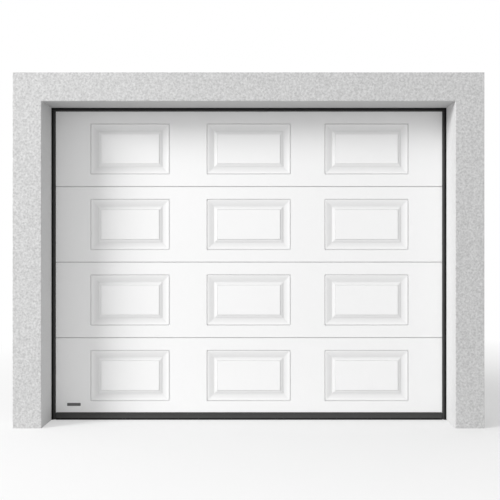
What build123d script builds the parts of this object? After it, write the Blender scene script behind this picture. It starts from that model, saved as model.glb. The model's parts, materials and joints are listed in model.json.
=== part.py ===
from build123d import *
import os
from math import cos, pi, radians, sin, sqrt

# Sectional garage door, closed, in the rendered masonry surround that it is fixed behind.
# X runs right as seen from outside, Y goes into the garage, Z goes up.
# Y is counted from the wall's outer face below, and the nodes are then moved by origin_y, so that
# the origin lies in the middle of the doorway and of the leaf's thickness, at floor level.

# Doorway and wall
opening_width = 2500
opening_height = 1975
pier_width = 175
lintel_height = 175
wall_depth = 240
arris = 3

# Leaf: four foam-cored sections with stamped panels
section_count = 4
leaf_thickness = 42
leaf_overlap = 22          # how far the leaf passes behind the wall at each side
leaf_base = 40             # lower edge of the bottom section above the floor
leaf_head = 15             # how far the leaf passes behind the lintel
top_trim = 30              # extra height of the top section, behind the lintel
seam_gap = 4               # shadow line between two sections
seam_depth = 9
edge_chamfer = 1.5

# Tongue and groove between sections
tongue_front = 13
tongue_width = 16
tongue_height = 10
tongue_taper = 2
tongue_play = 0.3

# Stamped panels
panel_margin = 80          # from the section's edges to the panel's outline
panel_spans = [(-1008, -502), (-269, 267), (480, 1015)]
panel_corner = 8
groove_width = 6           # crease round the panel
groove_depth = 3.5
bead_depth = 0.8
slope_width = 34           # hollow slope from the crease down to the valley
valley_depth = 9
slope_steps = 3
rise_width = 17            # from the valley up to the field's edge line
rise_depth = 3.2
rise_steps = 1
line_width = 3
line_depth = 4.6
edge_width = 5             # up to the raised field, which lies in the leaf's face

# Stiffening lines in the inner skin
inner_line_count = 4
inner_line_width = 10
inner_line_depth = 2.5

# Steel caps on the ends of the sections
cap_wall = 1.5
cap_return = 60
cap_clearance = 6

# Weather seals
seal_reach = 16            # from the wall's inner face to the leaf's front face
side_seal_show = 23.5
head_seal_show = 21
seal_body_show = 12
seal_body_thickness = 8
seal_clip_length = 8
seal_lip_thickness = 2.5
holder_top = 45
holder_bottom = 14
holder_wall = 2
holder_front_play = 2.5
floor_seal_width = 34
floor_seal_foot = 12
floor_seal_side = 6        # upright part of its sides
floor_seal_taper = 5
floor_seal_lift = 3

# Steel frame behind the wall
angle_wall = 2
angle_setback = 12         # from the doorway's edge to the frame's inner edge
angle_face = 83
angle_depth = 105

# Tracks and rollers
roller_diameter = 46
roller_width = 14
roller_play = 1.5
spindle_diameter = 11
track_wall = 1.5
track_depth = 30
track_lip = 8
track_foot = 15
curve_radius = 300
curve_drop = 200           # from the top of the doorway to the start of the curve
horizontal_length = 1830
flag_wall = 3
flag_overlap = 80
flag_toe = 26

# Hinges and roller carriers
hinge_plate = 2.5
hinge_height = 55
hinge_width = 60
side_hinge_width = 48
knuckle_radius = 6
knuckle_gap = 0.3
carrier_plate = 2.5
carrier_reach = 18
carrier_rise = 30
carrier_half_height = 19
carrier_width = 44
tube_wall = 3
bottom_carrier_rise = 50
top_carrier_drop = 40

# Lifting cables, pulleys and drums
cable_diameter = 4
cable_gap = 20             # from the leaf's end to the middle of the cable
cable_front = 24           # from the roller's axis to the cable
pulley_radius = 45
pulley_drop = 30
pulley_width = 12
pulley_flange = 5
axle_diameter = 12
axle_play = 0.2
cable_pin_diameter = 9
drum_radius = 60
drum_width = 40
drum_flange = 7
drum_groove_pitch = 8

# Torsion shaft and springs at the rear of the tracks
shaft_diameter = 25.4
shaft_setback = 70         # from the end of the tracks
shaft_stub = 18
collar_outer = 52
collar_width = 13
spring_outer = 60
spring_wall = 6
spring_length = 480
cone_neck = 20
cone_length = 34
rail_height = 80
rail_depth = 35
rail_wall = 2.5
rail_setback = 77          # from the shaft to the cross rail
end_plate_wall = 3
end_plate_overlap = 70
end_plate_margin = 45

# Hangers from the tracks to the ceiling
hanger_rise = 149          # from the top of the track to the ceiling
hanger_wall = 3
hanger_leg = 35
hanger_flange = 70
hanger_setback = 130
slot_width = 9
slot_length = 22

# Places that follow from the sizes above
half_opening = opening_width / 2
leaf_half = half_opening + leaf_overlap
leaf_top = opening_height + leaf_head
section_pitch = (leaf_top - top_trim - leaf_base) / section_count
panel_height = section_pitch - 2 * panel_margin
leaf_front = wall_depth + seal_reach
panel_depth = valley_depth + line_width
leaf_back = leaf_front + leaf_thickness
origin_y = (leaf_front + leaf_back) / 2
cap_back = leaf_back + cap_wall
carrier_seat = cap_back + hinge_plate
roller_y = carrier_seat + carrier_reach
frame_inner = half_opening + angle_setback
frame_outer = frame_inner + angle_face
track_outer = frame_outer - angle_wall
track_inner = track_outer - track_depth
track_half = roller_diameter / 2 + roller_play + track_wall
curve_y = roller_y + curve_radius
curve_start = opening_height - curve_drop
rail_z = curve_start + curve_radius
track_end = curve_y + horizontal_length
hanger_places = [horizontal_length / 3, horizontal_length - hanger_setback]   # along the track
roller_x = (track_inner + track_outer) / 2
frame_top = rail_z + track_half
ceiling_height = frame_top + hanger_rise
cable_x = leaf_half + cable_gap
cable_y = roller_y - cable_front
pulley_y = cable_y + pulley_radius
pulley_z = rail_z - pulley_drop
cable_z = pulley_z + pulley_radius
shaft_y = track_end + shaft_setback
shaft_z = cable_z - drum_radius
cross_rail_y = shaft_y + rail_setback
hinge_x = leaf_half + cap_wall - cap_return / 2
joint_heights = [leaf_base + i * section_pitch for i in range(1, section_count)]


def along_x(points, x0, x1):
    """A prism with its outline in YZ, from x0 to x1."""
    return extrude(Plane.YZ.offset(x0) * Polygon(*points, align=None), x1 - x0, dir=(1, 0, 0))


def along_z(points, z0, z1):
    """A prism with its outline in XY, from z0 to z1."""
    return extrude(Plane.XY.offset(z0) * Polygon(*points, align=None), z1 - z0, dir=(0, 0, 1))


def rod(radius, x0, x1, y, z):
    """A round bar along X."""
    return extrude(Plane.YZ.offset(x0) * Pos(y, z) * Circle(radius), x1 - x0)


def plate(x0, x1, y0, y1, z0, z1):
    """A flat plate or slab between two corners."""
    return Pos(x0, y0, z0) * Box(x1 - x0, y1 - y0, z1 - z0, align=(Align.MIN,) * 3)


def turned(points, y, z):
    """A body turned about an X axis through (y, z), from (x, radius) points."""
    axis = Axis((0, y, z), (1, 0, 0))
    outline = Pos(0, y, z) * Polygon(*points, align=None)
    return revolve(outline, axis, 360)


def left_of(shape):
    return mirror(shape, Plane.YZ)


# Wall

def surround():
    """The wall round the doorway in one body, with its arrises taken off."""
    half = half_opening + pier_width
    top = opening_height + lintel_height
    wall = plate(-half, half, 0, wall_depth, 0, top)
    wall -= plate(-half_opening, half_opening, 0, wall_depth, 0, opening_height)
    faces = wall.faces().filter_by(Axis.Y)
    upright = [e for e in faces.edges() if e.center().Z > 0]
    return chamfer(upright, arris)


def wall_pieces():
    wall = surround()
    below = split(wall, Plane.XY.offset(opening_height), keep=Keep.BOTTOM)
    above = split(wall, Plane.XY.offset(opening_height), keep=Keep.TOP)
    piers = sorted(below.solids(), key=lambda s: s.center().X)
    return piers[0], piers[1], above


# Leaf

def section_outline(index):
    """The section's outline in YZ, with the groove below and the tongue above."""
    lowest, highest = index == 0, index == section_count - 1
    z0 = leaf_base + index * section_pitch
    z1 = leaf_top if highest else z0 + section_pitch
    front, back = leaf_front, leaf_back
    t0, t1 = front + tongue_front, front + tongue_front + tongue_width
    points = [(front, z0 + edge_chamfer), (front + edge_chamfer, z0)]
    if not lowest:
        roof = z0 + tongue_height + tongue_play
        points += [(t0 - tongue_taper, z0), (t0, roof), (t1, roof), (t1 + tongue_taper, z0)]
    points += [(back, z0)]
    pitch = section_pitch / (inner_line_count + 1)
    for i in range(1, inner_line_count + 1):
        z = z0 + i * pitch
        points += [(back, z - inner_line_width / 2), (back - inner_line_depth, z),
                   (back, z + inner_line_width / 2)]
    points += [(back, z1)]
    if not highest:
        crest = z1 + tongue_height
        points += [(t1 + tongue_taper - tongue_play, z1), (t1 - tongue_play, crest),
                   (t0 + tongue_play, crest), (t0 - tongue_taper + tongue_play, z1),
                   (front + seam_depth, z1), (front + seam_depth, z1 - seam_gap)]
        z1 -= seam_gap
    points += [(front + edge_chamfer, z1), (front, z1 - edge_chamfer)]
    return points


def moulding_steps():
    """Inset from the panel's outline, and depth behind the leaf's face, from outside in."""
    steps = [(0, groove_depth), (groove_width, bead_depth)]
    slope, rise = (slope_width, valley_depth, slope_steps), (rise_width, rise_depth, rise_steps)
    for width, depth, count in (slope, rise):
        inset, start = steps[-1]
        for k in range(1, count + 1):
            eased = (1 - cos(pi * k / count)) / 2
            steps.append((inset + width * k / count, start + (depth - start) * eased))
    for width, depth in ((line_width, line_depth), (edge_width, 0)):
        steps.append((steps[-1][0] + width, depth))
    return steps


def frustum(width, height, outer, inner):
    """A flat pyramid between two insets of one outline, each at its own depth."""
    faces = [Plane.XZ.offset(-depth) * Rectangle(width - 2 * inset, height - 2 * inset)
             for inset, depth in (outer, inner)]
    return loft(faces, ruled=True)


def pressed_panel(width, height):
    """The moulding and field as one block, which fills the panel's pocket in the section."""
    steps = moulding_steps()
    outline = Plane.XZ * panel_outline(width, height)
    body = Pos(0, panel_depth, 0) * extrude(outline, panel_depth - groove_depth)
    for outer, inner in zip(steps, steps[1:]):
        ring = frustum(width, height, outer, inner)
        body = body - ring if inner[1] > outer[1] else body + ring
    return body


def panel_outline(width, height):
    w, h, c = width / 2, height / 2, panel_corner
    quarter = [(w, h - c), (w - c, h)]
    half = quarter + [(-x, z) for x, z in reversed(quarter)]
    return Polygon(*half, *[(-x, -z) for x, z in half], align=None)


def section(index):
    body = along_x(section_outline(index), -leaf_half, leaf_half)
    z = leaf_base + index * section_pitch + panel_margin + panel_height / 2
    for x0, x1 in panel_spans:
        place = Pos((x0 + x1) / 2, leaf_front, z)
        outline = Plane.XZ * panel_outline(x1 - x0, panel_height)
        body -= place * extrude(outline, -panel_depth)
        body += place * pressed_panel(x1 - x0, panel_height)
    return body


def end_caps():
    """Right-hand caps: an angle over each section's end, returned on to the inner skin."""
    x = leaf_half
    outline = [(x, leaf_front + cap_clearance), (x + cap_wall, leaf_front + cap_clearance),
               (x + cap_wall, cap_back), (x + cap_wall - cap_return, cap_back),
               (x + cap_wall - cap_return, leaf_back), (x, leaf_back)]
    caps = []
    for i in range(section_count):
        z0 = leaf_base + i * section_pitch
        z1 = leaf_top if i == section_count - 1 else z0 + section_pitch
        caps.append(along_z(outline, z0 + cap_clearance, z1 - cap_clearance))
    return caps


# Seals

def seal_outline(edge, show):
    """(across, y) outline: body clipped on the frame's edge, lip bent back on to the leaf."""
    body = edge - seal_body_show
    tip = edge - show
    front, back = wall_depth, wall_depth + seal_body_thickness
    clip = edge + angle_setback + seal_clip_length
    frame = edge + angle_setback
    return [(body, front), (frame, front), (frame, front + angle_wall),
            (clip, front + angle_wall), (clip, back), (body + seal_lip_thickness, back),
            (tip + seal_lip_thickness, leaf_front), (tip, leaf_front),
            (tip, leaf_front - seal_lip_thickness), (body, back - seal_lip_thickness)]


def side_seal():
    top = opening_height - head_seal_show
    return along_z(seal_outline(half_opening, side_seal_show), 0, top)


def head_seal():
    points = [(y, z) for z, y in seal_outline(opening_height, head_seal_show)]
    return along_x(points, -frame_inner, frame_inner)


def floor_seal_holder():
    """Dark profile clipped round the bottom section's lower edge."""
    front, back, z0, z1 = leaf_front, leaf_back, holder_bottom, holder_top
    mid = (z0 + leaf_base) / 2
    lip = [(front, z0), (front, z1), (front - holder_wall, z1 - holder_wall),
           (front - holder_wall, mid + holder_wall), (front - holder_wall / 2, mid),
           (front - holder_wall / 2, z0)]
    body = [(front, z0), (back, z0), (back, leaf_base), (front, leaf_base)]
    reach = half_opening - side_seal_show - holder_front_play
    return along_x(body, -leaf_half, leaf_half) + along_x(lip, -reach, reach)


def floor_seal():
    """Rubber lip under the holder, with its foot flat on the floor."""
    middle = (leaf_front + leaf_back) / 2
    w, f, h = floor_seal_width / 2, floor_seal_foot / 2, holder_bottom
    shoulder, haunch = h - floor_seal_side, w - floor_seal_taper
    half = [(w, h), (w, shoulder), (haunch, floor_seal_lift), (f, 0)]
    points = [(middle + y, z) for y, z in half] + [(middle - y, z) for y, z in reversed(half)]
    return along_x(points, -leaf_half, leaf_half)


# Frame

def frame_angle():
    a, b, y = frame_inner, frame_outer, wall_depth
    angle = [(a, y), (b, y), (b, y + angle_depth), (track_outer, y + angle_depth),
             (track_outer, y + angle_wall), (a, y + angle_wall)]
    face = plate(a, b, y, y + angle_wall, curve_start, frame_top)
    return along_z(angle, 0, curve_start) + face


def head_frame():
    y, z0, z1 = wall_depth, opening_height + angle_setback, frame_top
    stiffener = seal_reach
    points = [(y, z0), (y, z1), (y + stiffener, z1), (y + stiffener, z1 - angle_wall),
              (y + angle_wall, z1 - angle_wall), (y + angle_wall, z0)]
    return along_x(points, -frame_inner, frame_inner)


# Tracks

def track_outline(middle):
    """Lipped channel that opens towards the leaf; middle is its centre across the rollers."""
    o, i, t, h = track_outer, track_inner, track_wall, track_half
    half = [(o, h), (i, h), (i, h - track_lip), (i + t, h - track_lip), (i + t, h - t), (o - t, h - t)]
    other = [(x, -v) for x, v in reversed(half)]
    return [(x, middle + v) for x, v in half + other]


def vertical_track():
    return along_z(track_outline(roller_y), track_foot, curve_start)


def curved_track():
    outline = Plane.XY.offset(curve_start) * Polygon(*track_outline(roller_y), align=None)
    return revolve(outline, Axis((0, curve_y, curve_start), (-1, 0, 0)), 90)


def horizontal_track():
    outline = Plane.XZ.offset(-curve_y) * Polygon(*track_outline(rail_z), align=None)
    return extrude(outline, -horizontal_length)


def flag_bracket():
    """Corner plate that ties the curve to the wall and carries the cable pulley's stud."""
    y0, y1 = wall_depth + angle_wall, curve_y + flag_overlap
    low = rail_z - track_half
    outline = [(y0, curve_start), (roller_y + flag_toe, curve_start), (curve_y - flag_toe, low),
               (y1, low), (y1, frame_top), (y0, frame_top)]
    x0, x1 = track_outer, track_outer + flag_wall
    body = along_x(outline, x0, x1)
    body += plate(frame_inner + track_depth, x1, y0, y0 + flag_wall, curve_start + track_half, frame_top)
    stud_end = cable_x - pulley_width / 2 - flag_wall
    return body + rod(axle_diameter / 2, stud_end, x0, pulley_y, pulley_z)


# Hinges, carriers and rollers

def hinge(x, z, seat, width):
    """Two leaves screwed to neighbouring sections; the lower one carries the barrel."""
    x0, x1 = x - width / 2, x + width / 2
    lower = plate(x0, x1, seat, seat + hinge_plate, z - hinge_height, z)
    lower += rod(knuckle_radius, x0, x1, seat + knuckle_radius, z)
    upper = plate(x0, x1, seat, seat + hinge_plate, z + knuckle_radius + knuckle_gap, z + hinge_height)
    return [lower, upper]


def centre_hinges():
    return [piece for z in joint_heights for piece in hinge(0, z, leaf_back, hinge_width)]


def side_hinges():
    return [piece for z in joint_heights for piece in hinge(hinge_x, z, cap_back, side_hinge_width)]


def roller_places():
    """(y, z, seat) of each roller's axis on one side, from the floor up."""
    places = [(roller_y, leaf_base + bottom_carrier_rise, cap_back)]
    places += [(roller_y, z + carrier_rise, carrier_seat) for z in joint_heights]
    top_z = leaf_top - top_carrier_drop
    top_y = curve_y - sqrt(curve_radius ** 2 - (top_z - curve_start) ** 2)
    return places + [(top_y, top_z, cap_back)]


def roller_carrier(y, z, seat):
    """Base plate with a pressed saddle whose rounded nose is the tube for the roller's stem."""
    nose = spindle_diameter / 2 + tube_wall
    x0, x1 = hinge_x - carrier_width / 2, hinge_x + carrier_width / 2
    h = carrier_half_height
    body = plate(x0, x1, seat, seat + carrier_plate, z - h, z + h)
    low = seat + carrier_plate
    saddle = [(low, z - h + carrier_plate), (y, z - nose), (y, z + nose), (low, z + h - carrier_plate)]
    return body + along_x(saddle, x0, x1) + rod(nose, x0, x1, y, z)


def side_carriers():
    return [roller_carrier(*place) for place in roller_places()[1:-1]]


def top_carrier():
    return roller_carrier(*roller_places()[-1])


def bottom_carrier():
    """The lowest carrier, with an ear past the leaf's end for the cable's pin."""
    y, z, seat = roller_places()[0]
    low, high = z - carrier_half_height, z + carrier_half_height
    ear = plate(hinge_x, cable_x + cable_pin_diameter, seat, seat + carrier_plate, low, high)
    pin = extrude(Plane.XZ.offset(-seat) * Pos(cable_x, z) * Circle(cable_pin_diameter / 2),
                  seat - cable_y + cable_diameter)
    return roller_carrier(y, z, seat) + ear + pin


def roller(y, z):
    """Wheel on a stem that starts at its carrier's end."""
    r, stem = roller_diameter / 2, spindle_diameter / 2
    x0 = hinge_x + carrier_width / 2
    w0, w1 = roller_x - roller_width / 2, roller_x + roller_width / 2
    return turned([(x0, 0), (x0, stem), (w0, stem), (w0, r), (w1, r), (w1, 0)], y, z)


def rollers():
    return [roller(y, z) for y, z, seat in roller_places()]


# Cables, pulleys, drums

def cable_pulley():
    r, w, c = pulley_radius - cable_diameter / 2, pulley_width / 2, cable_diameter / 2
    rim, bore = r + pulley_flange, axle_diameter / 2 + axle_play
    points = [(-w, bore), (-w, rim), (-c, r), (c, r), (w, rim), (w, bore)]
    return turned([(cable_x + x, radius) for x, radius in points], pulley_y, pulley_z)


def cable_section():
    """Six strands, drawn as a six-sided outline."""
    return RegularPolygon(cable_diameter / 2, 6, rotation=90)


def cable_bend(y, z, radius, way):
    """A quarter turn from the top of a wheel, towards the door if way is 1 and away from it if -1."""
    section = Plane.XZ.offset(-y) * Pos(cable_x, z + radius) * cable_section()
    return revolve(section, Axis((cable_x, y, z), (way, 0, 0)), 90)


def lift_cable():
    """Taut cable: from the bottom pin up, over the pulley, back and a quarter turn on the drum."""
    foot = roller_places()[0][1] + cable_pin_diameter / 2
    rise = Plane.XY.offset(foot) * Pos(cable_x, cable_y) * cable_section()
    rope = extrude(rise, pulley_z - foot, dir=(0, 0, 1))
    rope += cable_bend(pulley_y, pulley_z, pulley_radius, 1)
    run = Plane.XZ.offset(-pulley_y) * Pos(cable_x, cable_z) * cable_section()
    rope += extrude(run, shaft_y - pulley_y, dir=(0, 1, 0))
    return rope + cable_bend(shaft_y, shaft_z, drum_radius, -1)


def cable_drum():
    """Drum with a high inner flange and the barrel that the cable winds on."""
    r, bore = drum_radius - cable_diameter / 2, shaft_diameter / 2 + axle_play
    x1 = cable_x + drum_groove_pitch
    x0 = x1 - drum_width
    flange = x0 - drum_flange
    points = [(flange, bore), (flange, r + drum_flange), (x0, r + drum_flange), (x0, r), (x1, r),
              (x1, bore)]
    return turned(points, shaft_y, shaft_z)


# Torsion shaft at the rear of the tracks

def end_plate():
    """Plate on the track's end that carries the shaft and the cross rail."""
    x0, x1 = track_outer, track_outer + end_plate_wall
    low = shaft_z - end_plate_margin
    outline = [(track_end - end_plate_overlap, rail_z - track_half), (shaft_y - end_plate_margin, low),
               (cross_rail_y + rail_depth, low), (cross_rail_y + rail_depth, frame_top),
               (track_end - end_plate_overlap, frame_top)]
    hole = rod(shaft_diameter / 2 + axle_play, x0, x1, shaft_y, shaft_z)
    return along_x(outline, x0, x1) - hole


def torsion_shaft():
    reach = track_outer + end_plate_wall + shaft_stub
    return rod(shaft_diameter / 2, -reach, reach, shaft_y, shaft_z)


def spring_start():
    return collar_width / 2 + cone_length


def torsion_spring():
    a, b = spring_start(), spring_start() + spring_length
    outer, inner = spring_outer / 2, spring_outer / 2 - spring_wall
    return turned([(a, inner), (a, outer), (b, outer), (b, inner)], shaft_y, shaft_z)


def spring_cone(face, way):
    """Cast cone that the spring's end coil bears on."""
    bore = shaft_diameter / 2 + axle_play
    points = [(-cone_length, bore), (-cone_length, cone_neck), (0, spring_outer / 2), (0, bore)]
    return turned([(face + way * x, radius) for x, radius in points], shaft_y, shaft_z)


def spring_cones():
    fixed = spring_cone(spring_start(), 1)
    winding = spring_cone(spring_start() + spring_length, -1)
    return [fixed, winding, left_of(fixed), left_of(winding)]


def centre_bracket():
    """Plate from the cross rail to the collar that steadies the middle of the shaft."""
    t, r = collar_width / 2, collar_outer / 2
    z0, z1 = shaft_z - rail_height / 2, shaft_z + rail_height / 2
    outline = [(shaft_y, shaft_z - r), (cross_rail_y, z0), (cross_rail_y, z1), (shaft_y, shaft_z + r)]
    body = along_x(outline, -t, t) + rod(r, -t, t, shaft_y, shaft_z)
    return body - rod(shaft_diameter / 2 + axle_play, -t, t, shaft_y, shaft_z)


def cross_rail():
    y, d, t = cross_rail_y, rail_depth, rail_wall
    z0, z1 = shaft_z - rail_height / 2, shaft_z + rail_height / 2
    points = [(y, z0), (y + d, z0), (y + d, z0 + t), (y + t, z0 + t), (y + t, z1 - t),
              (y + d, z1 - t), (y + d, z1), (y, z1)]
    return along_x(points, -track_outer, track_outer)


def hanger(place):
    """Angle from the track's web to the ceiling, with a slotted flange on top."""
    y, x, t = curve_y + place, track_outer, hanger_wall
    low = rail_z - track_half
    angle = [(x, y), (x + hanger_leg, y), (x + hanger_leg, y + t), (x + t, y + t),
             (x + t, y + hanger_leg), (x, y + hanger_leg)]
    body = along_z(angle, low, ceiling_height - t)
    body += plate(x, x + hanger_flange, y, y + hanger_flange, ceiling_height - t, ceiling_height)
    middle = Pos(x + hanger_flange / 2, y + hanger_flange / 2, ceiling_height - t)
    return body - middle * extrude(Rot(0, 0, 90) * SlotOverall(slot_length, slot_width), t)


def track_hangers():
    return [hanger(place) for place in hanger_places]


# Every node by name

def build_nodes():
    wall_left, wall_right, lintel = wall_pieces()
    nodes = {"wall_pier_left": wall_left, "wall_pier_right": wall_right, "wall_lintel": lintel}
    for i in range(section_count):
        nodes[f"section_{i + 1}"] = section(i)
    nodes["floor_seal_holder"] = floor_seal_holder()
    nodes["floor_seal"] = floor_seal()
    nodes["head_seal"] = head_seal()
    nodes["head_frame"] = head_frame()
    nodes["centre_hinges"] = centre_hinges()
    nodes["torsion_shaft"] = torsion_shaft()
    nodes["torsion_springs"] = [torsion_spring(), left_of(torsion_spring())]
    nodes["spring_cones"] = spring_cones()
    nodes["shaft_centre_bracket"] = centre_bracket()
    nodes["rear_cross_rail"] = cross_rail()
    singles = {
        "side_seal": side_seal(),
        "frame_angle": frame_angle(),
        "vertical_track": vertical_track(),
        "horizontal_track": horizontal_track(),
    }
    for name, shape in singles.items():
        nodes[name + "_right"] = shape
        nodes[name + "_left"] = left_of(shape)
    pairs = {
        "section_end_caps": end_caps(),
        "curved_tracks": [curved_track()],
        "flag_brackets": [flag_bracket()],
        "roller_hinges": side_hinges(),
        "roller_carriers": side_carriers() + [top_carrier()],
        "bottom_brackets": [bottom_carrier()],
        "rollers": rollers(),
        "cable_pulleys": [cable_pulley()],
        "lift_cables": [lift_cable()],
        "cable_drums": [cable_drum()],
        "shaft_end_plates": [end_plate()],
        "track_hangers": track_hangers(),
    }
    for name, right in pairs.items():
        nodes[name] = right + [left_of(piece) for piece in right]
    return nodes


os.makedirs("parts", exist_ok=True)
for node, shape in build_nodes().items():
    pieces = shape if isinstance(shape, list) else [shape]
    solids = [Pos(0, -origin_y, 0) * solid for piece in pieces for solid in piece.solids()]
    export_step(Compound(solids) if len(solids) > 1 else solids[0], f"parts/{node}.step")
    print(node, len(solids))
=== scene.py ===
# %% [markdown]
# # A sectional garage door in its doorway
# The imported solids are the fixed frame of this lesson: they give every place and size, in metres,
# with X to the right seen from outside, Y into the garage and Z up. The cells below dress that frame.
# Pieces whose plain solid already has the right form keep it and get a finish; pieces with a finer
# form are modelled anew over their solid. The part is judged from all sides, so the running gear
# inside gets the same care as the front.

# %% Load the frame
import json
import math
import bmesh
import bpy
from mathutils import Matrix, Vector


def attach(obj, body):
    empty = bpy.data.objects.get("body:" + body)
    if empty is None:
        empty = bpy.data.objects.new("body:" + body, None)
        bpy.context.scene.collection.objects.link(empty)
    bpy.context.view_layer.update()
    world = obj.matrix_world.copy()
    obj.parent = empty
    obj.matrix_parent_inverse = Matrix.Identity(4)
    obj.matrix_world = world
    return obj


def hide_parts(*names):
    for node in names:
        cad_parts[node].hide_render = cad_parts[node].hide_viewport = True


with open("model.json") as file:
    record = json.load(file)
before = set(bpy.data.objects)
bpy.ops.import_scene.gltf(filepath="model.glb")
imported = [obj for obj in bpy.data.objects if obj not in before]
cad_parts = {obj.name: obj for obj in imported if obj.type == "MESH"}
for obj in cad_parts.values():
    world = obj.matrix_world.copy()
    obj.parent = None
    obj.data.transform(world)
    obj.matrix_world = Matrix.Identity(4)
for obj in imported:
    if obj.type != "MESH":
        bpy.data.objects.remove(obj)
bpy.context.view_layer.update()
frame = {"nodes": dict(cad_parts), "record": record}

# %% [markdown]
# ## Camera
# The photograph was taken square to the wall, with the lens a little right of the middle and at chest
# height. A long lens with a small shift keeps the uprights upright, as an architectural picture does.

# %% Camera
CAMERA_PLACE = (0.07, -5.167, 1.104)
bpy.ops.object.camera_add(location=CAMERA_PLACE, rotation=(math.radians(90), 0, 0))
camera = bpy.context.object
camera.data.sensor_width = 36
camera.data.lens = 58.33
camera.data.shift_x = -0.02
camera.data.shift_y = -0.00905
camera.data.clip_end = 60
bpy.context.scene.camera = camera
bpy.context.scene.view_settings.view_transform = "Standard"
print("camera at", CAMERA_PLACE)

# %% [markdown]
# ## Working by selection
# Modelling by hand is mostly picking something and then using a tool on it. These helpers do the
# picking: one clears the selection, one opens a fresh primitive for editing, one picks faces, edges
# or points by a test on their place, one closes the piece, and one gives it its finish and lets it
# ride on the frame.

# %% Helpers for picking and finishing
TOUCH = 1e-5


def enter(mode):
    bpy.ops.object.mode_set(mode=mode)


def clear():
    if bpy.context.object and bpy.context.object.mode == "EDIT":
        enter("OBJECT")
    bpy.ops.object.select_all(action="DESELECT")


def take(*pieces):
    """Selects some objects and makes the first one active."""
    clear()
    for piece in pieces:
        piece.select_set(True)
    bpy.context.view_layer.objects.active = pieces[0]


def take_all():
    bpy.ops.mesh.select_all(action="SELECT")


def open_piece(name):
    """Names the primitive just added, puts its place into its mesh and opens it for editing."""
    piece = bpy.context.object
    piece.name = name
    bpy.ops.object.transform_apply()
    enter("EDIT")
    return piece


def open_sheet(name, left, right, y, low, high):
    """A flat sheet that faces outward, open for editing."""
    clear()
    bpy.ops.mesh.primitive_plane_add(size=1, location=((left + right) / 2, y, (low + high) / 2),
                                     rotation=(math.radians(90), 0, 0))
    bpy.context.object.scale = (right - left, high - low, 1)
    return open_piece(name)


def pick(kind, test):
    """Selects the faces, edges or verts that pass the test."""
    bpy.ops.mesh.select_mode(type=kind[:-1].upper())
    bpy.ops.mesh.select_all(action="DESELECT")
    mesh = bmesh.from_edit_mesh(bpy.context.object.data)
    for item in getattr(mesh, kind):
        if test(item):
            item.select_set(True)
    bmesh.update_edit_mesh(bpy.context.object.data)


def cap_ends(axis, *places):
    """Fills the open ends that lie in planes across an axis."""
    for place in places:
        pick("edges", lambda edge: edge.is_boundary
             and all(abs(v.co[axis] - place) < TOUCH for v in edge.verts))
        bpy.ops.mesh.edge_face_add()


def extrude(move):
    bpy.ops.mesh.extrude_region_move(TRANSFORM_OT_translate={"value": tuple(move)})


def weld():
    """Merges doubled points."""
    take_all()
    bpy.ops.mesh.remove_doubles(threshold=TOUCH)


def close_piece(smooth=30):
    """Merges doubles, turns the faces outward and shades the soft curves smooth."""
    weld()
    take_all()
    bpy.ops.mesh.normals_make_consistent(inside=False)
    enter("OBJECT")
    bpy.ops.object.shade_smooth_by_angle(angle=math.radians(smooth))
    return bpy.context.object


def join(name, pieces):
    """Several meshes made into one piece."""
    take(*pieces)
    if len(pieces) > 1:
        bpy.ops.object.join()
    bpy.context.object.name = name
    return bpy.context.object


def shift(piece, move):
    """Moves a piece and keeps the way in its mesh."""
    take(piece)
    piece.location = move
    bpy.ops.object.transform_apply()
    return piece


def copy_of(piece, move=(0, 0, 0), name=None):
    """A copy with its own mesh, moved by some way."""
    take(piece)
    bpy.ops.object.duplicate()
    made = shift(bpy.context.object, move)
    made.name = name or made.name
    return made


def mirror_of(piece, name=None):
    """A copy on the other side of the doorway, with its faces turned outward again."""
    made = copy_of(piece, name=name)
    made.scale = (-1, 1, 1)
    bpy.ops.object.transform_apply()
    enter("EDIT")
    take_all()
    bpy.ops.mesh.normals_make_consistent(inside=False)
    enter("OBJECT")
    return made


def both(pieces):
    """The pieces and their mirrored copies."""
    return pieces + [mirror_of(piece) for piece in pieces]


def dress(piece, material, slot, *nodes):
    """The piece gets its finish, rides on the frame and stands for the solids that it covers."""
    piece.data.materials.clear()
    piece.data.materials.append(material)
    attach(piece, "root")
    if nodes:
        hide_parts(*nodes)
    print(piece.name, len(piece.data.polygons), "faces")
    return piece


# %% [markdown]
# ## Three ways to shape metal and rubber
# Most parts of a door are rolled, turned or cut. A rolled part has one outline along its whole
# length: here an edge as long as the part is carried round that outline, as a strip runs through a
# mill. A turned part is a ring carried along an axis, with its radius changed at each step. A cut
# part is a plate with eased edges.

# %% Rolling, turning and cutting
def rolled(name, points, start, end, axis=0):
    """A closed outline carried along an axis. points hold the other two coordinates, in order."""

    def place(along, pair):
        spot = list(pair)
        spot.insert(axis, along)
        return Vector(spot)

    clear()
    bpy.ops.mesh.primitive_plane_add(size=1)
    piece = bpy.context.object
    piece.name = name
    enter("EDIT")
    pick("verts", lambda v: v.co.y > 0)
    bpy.ops.mesh.delete(type="VERT")
    mesh = bmesh.from_edit_mesh(piece.data)
    mesh.verts.ensure_lookup_table()
    mesh.verts[0].co, mesh.verts[1].co = place(start, points[0]), place(end, points[0])
    bmesh.update_edit_mesh(piece.data)
    take_all()
    for a, b in zip(points, points[1:] + points[:1]):
        extrude(place(0, b) - place(0, a))
    weld()
    cap_ends(axis, start, end)
    return close_piece()


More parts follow.
